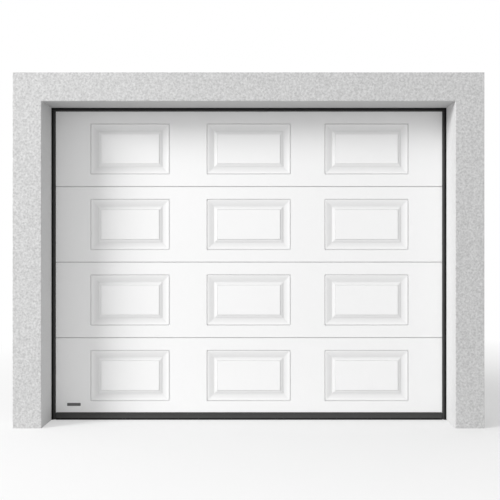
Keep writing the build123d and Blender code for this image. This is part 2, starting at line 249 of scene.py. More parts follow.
def turned(name, rings, centre, axis=0, sides=32, hollow=False):
    """A ring carried along an axis by (way along, radius) pairs; hollow closes it on its start."""
    clear()
    turn = {0: (0, math.radians(90), 0), 1: (math.radians(90), 0, 0), 2: (0, 0, 0)}[axis]
    spot = Vector(centre)
    spot[axis] += rings[0][0]
    bpy.ops.mesh.primitive_circle_add(vertices=sides, radius=rings[0][1], location=spot, rotation=turn)
    open_piece(name)
    loop = rings[1:] + (rings[:1] if hollow else [])
    along, radius = rings[0]
    for next_along, next_radius in loop:
        move = [0, 0, 0]
        move[axis] = next_along - along
        extrude(move)
        if next_radius != radius:
            size = [next_radius / radius] * 3
            size[axis] = 1
            spot[axis] = centre[axis] + next_along
            bpy.ops.transform.resize(value=size, center_override=spot)
        along, radius = next_along, next_radius
    if not hollow:
        cap_ends(axis, centre[axis] + rings[0][0], centre[axis] + rings[-1][0])
    return close_piece()


def ring_of(name, rings, centre=(0, 0, 0), sides=40):
    """A turned part with a bore, its axis along X."""
    return turned(name, rings, centre, 0, sides, hollow=True)


def mirrored(half):
    """An outline made whole by its half on the other side of zero, in reverse order."""
    return half + [(-a, b) for a, b in reversed(half)]


def cut_plate(name, low, high, ease=0.0006, segments=1):
    """A plate or block between two corners with its edges eased."""
    clear()
    middle = [(a + b) / 2 for a, b in zip(low, high)]
    bpy.ops.mesh.primitive_cube_add(size=1, location=middle, scale=[b - a for a, b in zip(low, high)])
    open_piece(name)
    take_all()
    bpy.ops.mesh.bevel(offset=ease, segments=segments, affect="EDGES")
    return close_piece()


def arc(centre, radius, start, end, steps):
    """Points on an arc between two angles in degrees."""
    angles = [math.radians(start + (end - start) * i / steps) for i in range(steps + 1)]
    return [(centre[0] + radius * math.cos(a), centre[1] + radius * math.sin(a)) for a in angles]


# %% [markdown]
# ## Finishes
# Every finish is a small set of shader nodes. The helper class below lets the maths be written as
# Python: adding, taking away, multiplying or comparing wrapped sockets adds the Math node that does
# it, so a finish reads like the recipe that it is. All patterns use object coordinates, in metres, so
# their scale is real.

# %% Shader maths as Python
class Value:
    """A node's output, with operators that add Math nodes."""

    def __init__(self, finish, socket):
        self.finish, self.socket = finish, socket

    def maths(self, operation, other):
        return self.finish.node("ShaderNodeMath", {"operation": operation}, {0: self, 1: other})

    def __add__(self, other): return self.maths("ADD", other)
    def __sub__(self, other): return self.maths("SUBTRACT", other)
    def __mul__(self, other): return self.maths("MULTIPLY", other)
    def __gt__(self, other): return self.maths("GREATER_THAN", other)
    def __lt__(self, other): return self.maths("LESS_THAN", other)


class Finish:
    """One material: its nodes, and the shader that they end in."""

    def __init__(self, name, metallic=0.0, roughness=0.5, specular=0.5):
        self.material = bpy.data.materials.new(name)
        self.material.use_nodes = True
        self.tree = self.material.node_tree
        self.shader = self.tree.nodes["Principled BSDF"]
        self.shader.inputs["Metallic"].default_value = metallic
        self.shader.inputs["Roughness"].default_value = roughness
        self.shader.inputs["Specular IOR Level"].default_value = specular
        self.place = self.node("ShaderNodeTexCoord", out="Object")

    def node(self, kind, settings=None, inputs=None, out=0):
        made = self.tree.nodes.new(kind)
        for key, value in (settings or {}).items():
            if key == "stops":
                ramp = made.color_ramp.elements
                while len(ramp) < len(value):
                    ramp.new(0.5)
                for element, (position, shade) in zip(ramp, value):
                    element.position, element.color = position, (shade, shade, shade, 1)
            else:
                setattr(made, key, value)
        for key, value in (inputs or {}).items():
            self.feed(made.inputs[key], value)
        return Value(self, made.outputs[out])

    def feed(self, socket, value):
        if isinstance(value, Value):
            self.tree.links.new(value.socket, socket)
        else:
            socket.default_value = value

    def set(self, name, value):
        self.feed(self.shader.inputs[name], value)

    def axes(self):
        """The three object coordinates, each as a value."""
        split = self.node("ShaderNodeSeparateXYZ", inputs={0: self.place})
        outs = split.socket.node.outputs
        return [Value(self, outs[i]) for i in range(3)]

    def noise(self, scale, detail=3.0, rough=0.5, stretch=None):
        """Cloudy noise, from 0 to 1; stretch gives each axis its own scale."""
        where = self.place
        if stretch:
            where = self.node("ShaderNodeMapping", inputs={"Vector": where, "Scale": stretch})
        return self.node("ShaderNodeTexNoise", inputs={
            "Vector": where, "Scale": scale, "Detail": detail, "Roughness": rough})

    def cells(self, scale, out="Distance"):
        """Cells of random form: the way from their middles, or a colour for each."""
        return self.node("ShaderNodeTexVoronoi", inputs={"Vector": self.place, "Scale": scale}, out=out)

    def ramp(self, value, *stops):
        """A value looked up on a ramp of (position, shade) stops."""
        return self.node("ShaderNodeValToRGB", {"stops": stops}, {0: value})

    def blend(self, factor, first, second):
        """One colour turned into another as the factor goes from 0 to 1."""
        return self.node("ShaderNodeMix", {"data_type": "RGBA"}, {0: factor, 6: first, 7: second}, 2)

    def shade(self, factor, low, high, tint=(1, 1, 1)):
        """The base colour goes between two grey levels."""
        self.set("Base Color", self.blend(factor, grey(low, tint), grey(high, tint)))

    def bump(self, height, distance, strength, normal=None):
        """A normal tilted by a height pattern, on top of another normal if one is given."""
        inputs = {"Height": height, "Distance": distance, "Strength": strength}
        if normal:
            inputs["Normal"] = normal
        return self.node("ShaderNodeBump", inputs=inputs)


def grey(level, tint=(1, 1, 1)):
    """A colour from an sRGB level between 0 and 255, with a slight tint."""
    linear = ((level / 255 + 0.055) / 1.055) ** 2.4
    return (linear * tint[0], linear * tint[1], linear * tint[2], 1)


print("helpers ready")

# %% [markdown]
# ## Stucco
# The wall is a cement render with a fine, even grain of two or three millimetres, painted a light
# grey. Two layers of noise give the grain its lumps, and a layer of cells adds the pits between them.
# The same grain that lifts the surface also colours it: the pits are darker than the high grains.
# The reveals are trowelled smoother. Their jambs are painted lighter than the face and lighter still
# toward the leaf, as painted bounce light from the leaf; the soffit keeps a darker grey, as painted
# shade.

# %% Stucco finish
WALL_FACE, REVEAL_X, REVEAL_TOP = -0.277, 1.2505, 1.9755
# How fast the painted bounce light on the jambs rises toward the leaf.
REVEAL_BOUNCE_FADE = 4.2


def make_stucco():
    f = Finish("stucco_render", roughness=0.93, specular=0.2)
    lumps = f.noise(75, detail=1.5, rough=0.55)
    grains = f.noise(190, detail=2.0, rough=0.6)
    pits = f.cells(120)
    height = f.ramp(lumps, (0.25, 0.0), (0.75, 1.0)) * 0.5 + grains * 0.35 + pits * 0.3
    # The pits are coloured darker than the high grains, following the same height.
    shade = f.ramp(height, (0.25, 0.0), (0.85, 1.0))
    cloud = f.noise(1.3) * 0.15 + shade * 0.85
    x, y, z = f.axes()
    inner = (x < REVEAL_X) * (x > -REVEAL_X) * (z < REVEAL_TOP)
    # Painted light and shade on the reveals: the jambs lighter toward the leaf as bounce light, the
    # soffit a darker grey as painted shade.
    back = (y - WALL_FACE) * REVEAL_BOUNCE_FADE
    face = f.blend(cloud, grey(174), grey(219))
    jamb_bounce_light = f.blend(back, grey(207), grey(220))
    reveal_light_and_shade = f.blend(z > REVEAL_TOP - 0.001, jamb_bounce_light, grey(196))
    f.set("Base Color", f.blend(inner, face, f.blend(cloud * 0.25, reveal_light_and_shade, grey(190))))
    f.set("Normal", f.bump(height, 0.0022, 0.7))
    return f.material


stucco = make_stucco()
print("stucco ready:", stucco.name)

# %% [markdown]
# ## Painted leaf
# The skin is coil-coated steel: white outside, grey-white inside, with a soft sheen and a very slight
# orange-peel from the paint. The stamped hollows are painted darker the deeper they lie, as painted
# shade for the light that they lose.

# %% Leaf finish
LEAF_FRONT, LEAF_BACK = -0.021, 0.021
HOLLOW_SHADE_LEVEL, HOLLOW_SHADE_FADE = 226, 125


def make_leaf_paint():
    f = Finish("leaf_paint", roughness=0.42, specular=0.35)
    y = f.axes()[1]
    peel = f.noise(900, detail=2.0)
    wave = f.noise(2.2, detail=2.0, stretch=(0.6, 1.0, 1.6))
    front = f.blend(f.noise(0.9, detail=2.0), grey(244), grey(241))
    # Painted shade: the face grows darker with depth behind it, in the creases, hollows and seams
    # between sections.
    front = f.blend((y - LEAF_FRONT) * HOLLOW_SHADE_FADE, front, grey(HOLLOW_SHADE_LEVEL))
    inside = f.blend(f.noise(1.5, detail=2.0), grey(226, (1, 1, 0.985)), grey(220, (1, 1, 0.98)))
    f.set("Base Color", f.blend(y > 0.0, front, inside))
    f.set("Roughness", peel * 0.05 + 0.4)
    ripple = f.bump(wave, 0.0006, 0.5)
    f.set("Normal", f.bump(peel, 0.00004, 0.5, ripple))
    return f.material


leaf_paint = make_leaf_paint()
print("leaf from y", LEAF_FRONT, "to", LEAF_BACK)

# %% [markdown]
# ## The stamped sections
# Each of the four sections is two thin steel skins on a foam core. The outer skin is stamped with
# three panels: a dark crease round the outline, a narrow bead, a wide hollow slope down to a valley,
# a short rise, a fine line and the flat field. By hand, the outline of each panel is cut into a plane
# with bisect, and then one inset after another follows the profile, which keeps the corners mitred as
# the press does. After that the top edge of the plane is carried round the tongue, the ribbed inner
# skin and the groove.

# %% Sizes of the leaf
LEAF_X = 1.272
LEAF_BASE, SECTION_PITCH, LEAF_TOP = 0.04, 0.48, 1.99
SECTION_COUNT = 4
PANEL_SPANS = [(-1.008, -0.502), (-0.269, 0.267), (0.48, 1.015)]
PANEL_FOOT, PANEL_RISE = 0.0745, 0.3255
SEAM_GAP, SEAM_DEPTH, EDGE_EASE = 0.004, 0.009, 0.0015
TONGUE = dict(start=-0.008, end=0.008, taper=0.002, height=0.01, play=0.0003)
RIB_COUNT, RIB_WIDTH, RIB_DEPTH = 4, 0.01, 0.0025
CREASE_WIDTH, CREASE_DEPTH, BEAD_DEPTH, CREASE_ROUND = 0.0092, 0.0068, 0.001, 0.0055
SLOPE_WIDTH, SLOPE_STEPS, VALLEY_DEPTH = 0.0383, 7, 0.008
RISE_WIDTH, RISE_STEPS, RISE_LIFT = 0.0195, 3, 0.0058
LINE_DEPTH = 0.0046


def moulding():
    """(inset, depth behind the face) pairs from the panel's outline to its field, in metres."""
    steps = [(0.0006, 0.0048), (0.0015, CREASE_DEPTH), (0.0043, CREASE_DEPTH), (0.006, 0.0026),
             (0.0075, 0.0012), (CREASE_WIDTH, BEAD_DEPTH)]
    for k in range(1, SLOPE_STEPS + 1):
        part = k / SLOPE_STEPS
        steps.append((CREASE_WIDTH + SLOPE_WIDTH * part,
                      BEAD_DEPTH + (VALLEY_DEPTH - BEAD_DEPTH) * (1 - (1 - part) ** 1.3)))
    for k in range(1, RISE_STEPS + 1):
        part = k / RISE_STEPS
        steps.append((CREASE_WIDTH + SLOPE_WIDTH + RISE_WIDTH * part,
                      VALLEY_DEPTH - RISE_LIFT * part * (1.2 - 0.2 * part)))
    return steps + [(0.0674, LINE_DEPTH), (0.0686, LINE_DEPTH), (0.0692, 0.0004), (0.0704, 0.0)]


print("moulding steps:", len(moulding()))

# %% One section
def section_edge(index):
    """(y, z) points from the front's top over the tongue, down the inner skin and under the groove."""
    lowest, highest = index == 0, index == SECTION_COUNT - 1
    z0 = LEAF_BASE + index * SECTION_PITCH
    z1 = LEAF_TOP if highest else z0 + SECTION_PITCH
    t, f, b = TONGUE, LEAF_FRONT, LEAF_BACK
    if highest:
        points = [(f + EDGE_EASE, z1)]
    else:
        seam = z1 - SEAM_GAP
        points = [(f + EDGE_EASE, seam), (f + SEAM_DEPTH, seam), (f + SEAM_DEPTH, z1),
                  (t["start"] - t["taper"] + t["play"], z1), (t["start"] + t["play"], z1 + t["height"]),
                  (t["end"] - t["play"], z1 + t["height"]), (t["end"] + t["taper"] - t["play"], z1)]
    points += [(b, z1)]
    for i in range(RIB_COUNT, 0, -1):
        z = z0 + i * SECTION_PITCH / (RIB_COUNT + 1)
        points += [(b - RIB_DEPTH * (1 - abs(k) / 3) ** 1.5, z - RIB_WIDTH / 2 * k / 3)
                   for k in (-3, -2, -1, 0, 1, 2, 3)]
    points += [(b, z0)]
    if not lowest:
        roof = z0 + t["height"] + t["play"]
        points += [(t["end"] + t["taper"], z0), (t["end"], roof), (t["start"], roof),
                   (t["start"] - t["taper"], z0)]
    return points + [(f + EDGE_EASE, z0), (f, z0 + EDGE_EASE)]


def make_section(index):
    z0 = LEAF_BASE + index * SECTION_PITCH
    highest = index == SECTION_COUNT - 1
    low = z0 + EDGE_EASE
    high = (LEAF_TOP if highest else z0 + SECTION_PITCH - SEAM_GAP) - EDGE_EASE
    open_sheet(f"section_{index + 1}_skin", -LEAF_X, LEAF_X, LEAF_FRONT, low, high)
    foot, head = z0 + PANEL_FOOT, z0 + PANEL_FOOT + PANEL_RISE
    cuts = [((x, 0, 0), (1, 0, 0)) for span in PANEL_SPANS for x in span]
    cuts += [((0, 0, z), (0, 0, 1)) for z in (foot, head)]
    for place, normal in cuts:
        take_all()
        bpy.ops.mesh.bisect(plane_co=place, plane_no=normal)

    def in_panel(c):
        return any(a < c.x < b for a, b in PANEL_SPANS) and foot < c.z < head

    pick("faces", lambda face: in_panel(face.calc_center_median()))
    inset, depth = 0.0, 0.0
    for next_inset, next_depth in moulding():
        bpy.ops.mesh.inset(thickness=next_inset - inset, depth=depth - next_depth,
                           use_individual=True)
        inset, depth = next_inset, next_depth

    def mitre(edge):
        a, b = [v.co for v in edge.verts]
        flat = abs(abs(a.x - b.x) - abs(a.z - b.z)) < TOUCH
        return flat and abs(a.x - b.x) > TOUCH and in_panel((a + b) / 2)

    def near_corner(v):
        dx = min(abs(v.co.x - x) for span in PANEL_SPANS for x in span)
        return max(dx, min(abs(v.co.z - foot), abs(v.co.z - head))) < CREASE_WIDTH + TOUCH

    pick("edges", lambda edge: mitre(edge) and not all(near_corner(v) for v in edge.verts))
    bpy.ops.mesh.mark_sharp()
    pick("edges", lambda edge: mitre(edge) and all(near_corner(v) for v in edge.verts))
    bpy.ops.mesh.bevel(offset=CREASE_ROUND, segments=4, affect="EDGES")
    pick("edges", lambda edge: min(v.co.z for v in edge.verts) > high - TOUCH)
    spot = (LEAF_FRONT, high)
    for y, z in section_edge(index):
        extrude((0, y - spot[0], z - spot[1]))
        spot = (y, z)
    weld()
    cap_ends(0, -LEAF_X, LEAF_X)
    return close_piece(smooth=13)


sections = [make_section(0), make_section(1)]
sections.append(copy_of(sections[1], (0, 0, SECTION_PITCH), "section_3_skin"))
sections.append(make_section(3))
for number, piece in enumerate(sections, 1):
    dress(piece, leaf_paint, "leaf_skin", f"section_{number}")

# %% [markdown]
# ## Rubber and dark profiles
# The weather seals are black rubber on a dark clip: a thick body screwed to the frame's edge and a
# thin lip that leans on the leaf. The body keeps the rubber's own black; the lip is painted a lighter
# grey, as painted light for the light that it catches, which gives the two-tone line round the leaf.
# Rubber is matt, with a faint bloom; the extruded profiles have lines along them.

# %% Rubber and profile finishes
def make_rubber(name, low, high, specular, roughness, bloom_scale, grain_scale):
    f = Finish(name, roughness=roughness, specular=specular)
    bloom = f.noise(bloom_scale)
    f.shade(bloom, low, high)
    f.set("Roughness", bloom * 0.15 + roughness)
    f.set("Normal", f.bump(f.noise(grain_scale, detail=1.5), 0.0001, 0.4))
    return f.material


def make_profile():
    f = Finish("dark_profile", roughness=0.5, specular=0.4)
    lines = f.noise(1.0, detail=2.0, stretch=(0.8, 500, 500))
    f.shade(lines, 52, 64)
    f.set("Roughness", lines * 0.12 + 0.42)
    f.set("Normal", f.bump(lines, 0.00012, 0.5))
    return f.material


rubber = make_rubber("black_rubber", 14, 24, 0.15, 0.62, 18, 700)
# The lip's rubber is a lighter grey than the body's black: painted light for the light that the lip
# catches.
lip_rubber_painted_light = make_rubber("seal_lip_painted_light", 42, 54, 0.25, 0.45, 25, 500)
dark_profile = make_profile()
print("seal finishes:", rubber.name, lip_rubber_painted_light.name, dark_profile.name)

# %% [markdown]
# ## Weather seals
# A seal is one extrusion, so it is rolled along its length. Its body is rounded like a drop and the
# lip curls from it to the leaf. The right-hand seal is mirrored for the left, and the same outline,
# laid over, makes the head seal under the lintel.

# %% Seal outlines
WALL_BACK = -0.037
OPENING_X, OPENING_TOP = 1.25, 1.975
FRAME_SET = 0.012


def seal_body(edge):
    """(across, y) outline of the body and its clip round the frame's edge."""
    y = WALL_BACK
    nose = arc((edge - 0.008, y + 0.004), 0.004, 270, 90, 6)
    return nose + [(edge + 0.02, y + 0.008), (edge + 0.02, y + 0.002), (edge + FRAME_SET, y + 0.002),
                   (edge + FRAME_SET, y)]


def seal_lip(edge, show):
    """(across, y) outline of the thin lip, curled from the body to the leaf's face."""
    y, tip = WALL_BACK, edge - show
    outer = arc((edge - 0.008, y + 0.0135), 0.011, 250, 205, 4)
    return outer + [(tip + 0.0005, LEAF_FRONT - 0.0034), (tip, LEAF_FRONT - 0.0008),
                    (tip + 0.0008, LEAF_FRONT), (tip + 0.0034, LEAF_FRONT),
                    (edge - 0.015, LEAF_FRONT - 0.005), (edge - 0.011, y + 0.0081),
                    (edge - 0.009, y + 0.0079)]


SIDE_SHOW, HEAD_SHOW = 0.0235, 0.021
seal_top = OPENING_TOP - HEAD_SHOW
right_body = rolled("side_seal_body", seal_body(OPENING_X), 0.0, seal_top, axis=2)
right_lip = rolled("side_seal_lip", seal_lip(OPENING_X, SIDE_SHOW), 0.0, seal_top, axis=2)
left_body = mirror_of(right_body, "left_seal_body")
dress(right_body, rubber, "black_rubber", "side_seal_right")
dress(left_body, rubber, "black_rubber", "side_seal_left")
left_lip = mirror_of(right_lip, "left_seal_lip")
dress(right_lip, lip_rubber_painted_light, "black_rubber")
dress(left_lip, lip_rubber_painted_light, "black_rubber")

reach = OPENING_X + FRAME_SET
head_body = rolled("head_seal_body", [(y, z) for z, y in seal_body(OPENING_TOP)], -reach, reach)
lip_line = [(y, z) for z, y in seal_lip(OPENING_TOP, HEAD_SHOW)]
head_lip = rolled("head_seal_lip", lip_line, -reach, reach)
dress(head_body, rubber, "black_rubber", "head_seal")
dress(head_lip, lip_rubber_painted_light, "black_rubber")

# %% [markdown]
# ## Foot of the leaf
# The bottom section stands in a dark profile with a drip edge, and a hollow rubber seal is pushed
# into that profile from below. Outside one sees a few thin lines: the profile's lip, a step, its
# lighter drip edge and the black rubber with its foot on the floor. A soft sweep lip in front of the
# bulb keeps leaves out.

# %% Foot profile and floor seal
FOOT_REACH = OPENING_X - SIDE_SHOW - 0.0025
lip_steps = [(0, 0.045), (0.001, 0.045), (0.0016, 0.044), (0.0016, 0.04), (0.0004, 0.039),
             (0.0004, 0.0365), (0.0014, 0.0355), (0.0014, 0.03), (0.0008, 0.029), (0.0008, 0.024),
             (0.0022, 0.0225), (0.0026, 0.013), (0.004, 0.0085), (0.0036, 0.0075), (0, 0.008)]
lip = [(LEAF_FRONT - out, z) for out, z in lip_steps]
tray = [(LEAF_FRONT, 0.0142), (LEAF_FRONT, 0.04), (LEAF_BACK, 0.04), (LEAF_BACK, 0.0142)]
foot_lip = rolled("foot_lip", lip, -FOOT_REACH, FOOT_REACH)
foot_tray = rolled("foot_tray", tray, -LEAF_X, LEAF_X)
foot_profile = join("foot_profile", [foot_tray, foot_lip])
dress(foot_profile, dark_profile, "dark_profile", "floor_seal_holder")

bulb = [(0.017, 0.014)] + arc((0.0075, 0.0095), 0.0095, 0, -72, 6) + [(0.006, 0.0)]
sweep = [(-0.017, 0.0072), (-0.024, 0.007), (-0.03, 0.0055), (-0.035, 0.002),
         (-0.0366, 0.0), (-0.0335, 0.0), (-0.027, 0.0035), (-0.0165, 0.0045)]
floor_seal = join("floor_seal_rubber", [rolled("bulb", mirrored(bulb), -LEAF_X, LEAF_X),
                                        rolled("sweep", sweep, -FOOT_REACH, FOOT_REACH)])
dress(floor_seal, rubber, "black_rubber", "floor_seal")

# %% [markdown]
# ## Name plate
# A small bare plate sits low on the left of the bottom section. It is a thin pressing with rounded
# corners and a raised rim, held by two rivets.

# %% Plate
def make_plate_finish():
    f = Finish("plate_dark", metallic=0.4, roughness=0.45)
    brushed = f.noise(1.0, stretch=(15, 1, 900))
    f.shade(brushed, 78, 104)
    f.set("Roughness", brushed * 0.15 + 0.36)
    return f.material


PLATE_LEFT, PLATE_RIGHT, PLATE_FOOT, PLATE_HEAD = -1.155, -1.069, 0.085, 0.104
name_plate = open_sheet("name_plate", PLATE_LEFT, PLATE_RIGHT, LEAF_FRONT, PLATE_FOOT, PLATE_HEAD)
take_all()
bpy.ops.mesh.bevel(offset=0.004, segments=4, affect="VERTICES")
take_all()
extrude((0, -0.0008, 0))
bpy.ops.mesh.inset(thickness=0.0012, depth=0.0)
bpy.ops.mesh.inset(thickness=0.0004, depth=-0.0003)
close_piece()
rivet_rings = [(0.0, 0.0021), (-0.0007, 0.0019), (-0.0011, 0.0012), (-0.0013, 0.0004)]
rivets = [turned("rivet", rivet_rings, (x, LEAF_FRONT - 0.0004, (PLATE_FOOT + PLATE_HEAD) / 2), 1, 16)
          for x in (PLATE_LEFT + 0.006, PLATE_RIGHT - 0.006)]
name_plate = join("name_plate", [name_plate] + rivets)
dress(name_plate, make_plate_finish(), "dark_profile")

# %% [markdown]
# ## Metals and plastics of the gear
# Galvanised sheet has a spangle of pale and darker crystals; turned steel and castings are plainer.
# The gear inside is made of these, and the solids that keep their plain form get the same finishes
# further down.

# %% Metal finishes
def make_galvanised():
    f = Finish("galvanised_sheet", metallic=0.75, roughness=0.45)
    crystal = f.ramp(f.cells(120, out="Color"), (0.15, 0.0), (0.85, 1.0))
    streak = f.noise(6, stretch=(1, 1, 0.3))
    tone = crystal * 0.5 + streak * 0.5
    f.shade(tone, 160, 190, (0.99, 1.0, 1.01))
    f.set("Roughness", crystal * 0.16 + 0.36)
    f.set("Normal", f.bump(streak, 0.0004, 0.3))
    return f.material


def make_plain(name, low, high, roughness, metallic=0.9, scale=120, tint=(1, 1, 1)):
    f = Finish(name, metallic=metallic, roughness=roughness)
    tone = f.noise(scale)
    f.shade(tone, low, high, tint)
    f.set("Roughness", tone * 0.2 + (roughness - 0.1))
    f.set("Normal", f.bump(f.noise(scale * 5, detail=2.0), 0.0001, 0.4))
    return f.material


galvanised = make_galvanised()
bright_steel = make_plain("bright_steel", 165, 200, 0.3, 0.9)
zinc_bolt = make_plain("zinc_bolt", 150, 190, 0.35, 0.85, 300, (1.0, 1.0, 0.97))
cast_alloy = make_plain("cast_alloy", 160, 190, 0.5, 0.7, 300)
spring_black = make_plain("spring_black", 34, 58, 0.42, 0.3, 60)
nylon = make_plain("roller_nylon", 30, 44, 0.5, 0.0, 200)
cable_steel = make_plain("cable_steel", 130, 160, 0.4, 0.8, 400)
print("gear finishes ready")

# %% [markdown]
# ## Bolts and screws
# Every fastener is the same hexagon head on a washer. It is turned once for each size and each way
# that it faces: the head with six sides and the washer with twenty-four. Copies of it go wherever two
# pieces are held together.

# %% One fastener for each way it faces
def make_bolt(axis, way, size):
    """A hexagon head of that half width, with its washer on the plane through the origin."""
    washer = [(0.0, size * 1.25), (way * 0.001, size * 1.25), (way * 0.0013, size * 1.15)]
    head = [(way * 0.0013, size), (way * size * 0.62, size), (way * size * 0.72, size * 0.86)]
    return join("bolt", [turned("washer", washer, (0, 0, 0), axis, 24),
                         turned("head", head, (0, 0, 0), axis, 6)])


HINGE_SCREW, CARRIER_SCREW, SHEET_SCREW, SET_SCREW = 0.0045, 0.0038, 0.0026, 0.004
FRAME_BOLT, HANGER_BOLT, PULLEY_NUT = 0.006, 0.0055, 0.008
patterns, bolts = {}, []


def bolt(axis, way, place, size):
    """A copy of the fastener at a place; the fasteners are joined into one piece at the end."""
    key = (axis, way, size)
    if key not in patterns:
        patterns[key] = make_bolt(axis, way, size)
    bolts.append(copy_of(patterns[key], place))


print("fasteners by half width:", HINGE_SCREW, "to", PULLEY_NUT)

# %% [markdown]
# ## Hinges
# Each joint between sections has a hinge in the middle and one at each end. A hinge is two plates
# whose edges are rolled into knuckles round a pin: two knuckles on the lower plate, one on the upper.
# The plates have rounded corners and two screws each, in line with the fold of the sections.

# %% Places of the gear
CAP_BACK, HINGE_X, SHEET = 0.0225, 1.2435, 0.0025
JOINTS = [LEAF_BASE + SECTION_PITCH * i for i in (1, 2, 3)]
ROLLER_Y, ROLLER_X, ROLLER_R, STEM_R = 0.043, 1.328, 0.023, 0.0055
RAIL_Z, CURVE_Y, CURVE_Z, CURVE_R, TOP_ROLLER_Z = 2.075, 0.343, 1.775, 0.3, 1.95
ROLLER_SPOTS = [(ROLLER_Y, 0.09, CAP_BACK)]
ROLLER_SPOTS += [(ROLLER_Y, z + 0.03, CAP_BACK + SHEET) for z in JOINTS]
top_roller_y = CURVE_Y - math.sqrt(CURVE_R ** 2 - (TOP_ROLLER_Z - CURVE_Z) ** 2)
ROLLER_SPOTS += [(top_roller_y, TOP_ROLLER_Z, CAP_BACK)]
print("rollers a side:", len(ROLLER_SPOTS))


def rounded_plate(name, left, right, back, low, high, corner=0.006):
    """A sheet against the plane y = back, facing into the garage, with rounded corners."""
    open_sheet(name, left, right, back, low, high)
    take_all()
    bpy.ops.mesh.bevel(offset=corner, segments=4, affect="VERTICES")
    take_all()
    extrude((0, SHEET, 0))
    return close_piece()


def make_hinge(x, z, seat, width):
    left, right, centre = x - width / 2, x + width / 2, (0, seat + 0.006, z)
    parts = [rounded_plate("leaf_low", left, right, seat, z - 0.055, z - 0.003),
             rounded_plate("leaf_high", left, right, seat, z + 0.0065, z + 0.055)]
    third = width / 3
    for i in range(3):
        a, b = left + i * third + 0.0004, left + (i + 1) * third - 0.0004
        knuckle = [(a, 0.0056), (a + 0.0006, 0.006), (b - 0.0006, 0.006), (b, 0.0056)]
        parts.append(turned("knuckle", knuckle, centre, 0, 24))
    pin = [(left - 0.0015, 0.002), (left - 0.001, 0.003), (right + 0.001, 0.003),
           (right + 0.0015, 0.002)]
    return join("hinge", parts + [turned("pin", pin, centre, 0, 20)])


middle_hinge = make_hinge(0, JOINTS[0], LEAF_BACK, 0.06)
side_hinge = make_hinge(HINGE_X, JOINTS[0], CAP_BACK, 0.048)
middle_set, side_set = [middle_hinge], [side_hinge]
for z in JOINTS[1:]:
    middle_set.append(copy_of(middle_hinge, (0, 0, z - JOINTS[0])))
    side_set.append(copy_of(side_hinge, (0, 0, z - JOINTS[0])))
side_set = both(side_set)
dress(join("middle_hinges", middle_set), galvanised, "galvanised_steel", "centre_hinges")
dress(join("side_hinges", side_set), galvanised, "galvanised_steel", "roller_hinges")
for z in JOINTS:
    for dx in (-0.018, 0.018):
        for dz in (-0.036, 0.036):
            bolt(1, 1, (dx, LEAF_BACK + SHEET, z + dz), HINGE_SCREW)
    for side in (-1, 1):
        for dx in (-0.014, 0.014):
            bolt(1, 1, (side * HINGE_X + dx, CAP_BACK + SHEET, z - 0.036), HINGE_SCREW)

# %% [markdown]
# ## Roller carriers
# A carrier is a base plate with two cheeks and a short tube through their noses, in which the
# roller's stem can slide. The bottom one has an ear past the leaf's end with the pin for the lifting
# cable. The cheeks are rolled outlines, thin along X; the tube is turned hollow.

# %% Carriers
def make_carrier(y, z, seat):
    left, right = HINGE_X - 0.022, HINGE_X + 0.022
    base = rounded_plate("carrier_base", left, right, seat, z - 0.019, z + 0.019, 0.004)
    foot = seat + SHEET
    cheek = [(foot, z - 0.0165)] + arc((y, z), 0.0085, -70, 70, 8) + [(foot, z + 0.0165)]
    cheeks = [rolled("cheek", cheek, a, a + SHEET) for a in (left, right - SHEET)]
    a, b = left - 0.002, right + 0.002
    tube = ring_of("tube", [(a, 0.006), (a, 0.008), (b, 0.008), (b, 0.006)], (0, y, z), 28)
    return join("carrier", [base, tube] + cheeks)


first = ROLLER_SPOTS[1]
side_carrier = make_carrier(*first)
carriers = [side_carrier]
carriers += [copy_of(side_carrier, (0, 0, spot[1] - first[1])) for spot in ROLLER_SPOTS[2:4]]
carriers = both(carriers + [make_carrier(*ROLLER_SPOTS[4])])
dress(join("roller_carrier_set", carriers), galvanised, "galvanised_steel", "roller_carriers")

CABLE_X, CABLE_Y = 1.292, 0.019
y, z, seat = ROLLER_SPOTS[0]
ear = rounded_plate("cable_ear", HINGE_X + 0.0225, CABLE_X + 0.009, seat, z - 0.019, z + 0.019)
pin_rings = [(seat, 0.0045), (CABLE_Y - 0.003, 0.0045), (CABLE_Y - 0.003, 0.0065),
             (CABLE_Y - 0.0045, 0.006)]
pin = turned("cable_pin", pin_rings, (CABLE_X, 0, z), 1, 24)
bottom = join("bottom_bracket", [make_carrier(y, z, seat), ear, pin])
dress(join("bottom_bracket_pair", both([bottom])), galvanised, "galvanised_steel",
      "bottom_brackets")
for y, z, seat in ROLLER_SPOTS:
    for side in (-1, 1):
        for dz in (-0.0125, 0.0125):
            bolt(1, 1, (side * (HINGE_X - 0.0005), seat + SHEET, z + dz), CARRIER_SCREW)

# %% [markdown]
# ## Rollers
# A roller has a black nylon tyre with a crowned tread on a steel race, and a stem that is rounded at
# its free end. The tyre is turned as one closed ring; stem and race are turned as one solid round the
# same centre. The lowest roller is modelled and the others are its copies.

# %% Rollers
def make_tyre(y, z):
    w, r = 0.007, ROLLER_R
    half = [(-w + 0.0015, 0.0128), (-w + 0.0015, 0.019), (-w, 0.0198), (-w, r - 0.0022),
            (-w + 0.0012, r - 0.0007), (-w + 0.003, r)]
    return ring_of("tyre", mirrored(half), (ROLLER_X, y, z))


def make_stem(y, z):
    free = HINGE_X - 0.026
    steps = [(free, 0.003), (free + 0.0015, STEM_R), (1.32, STEM_R), (1.32, 0.0078), (1.3222, 0.0078),
             (1.3222, 0.0126), (1.3338, 0.0126), (1.3338, 0.008), (1.3346, 0.007), (1.3346, 0.003)]
    return turned("stem", steps, (0, y, z), 0, 28)


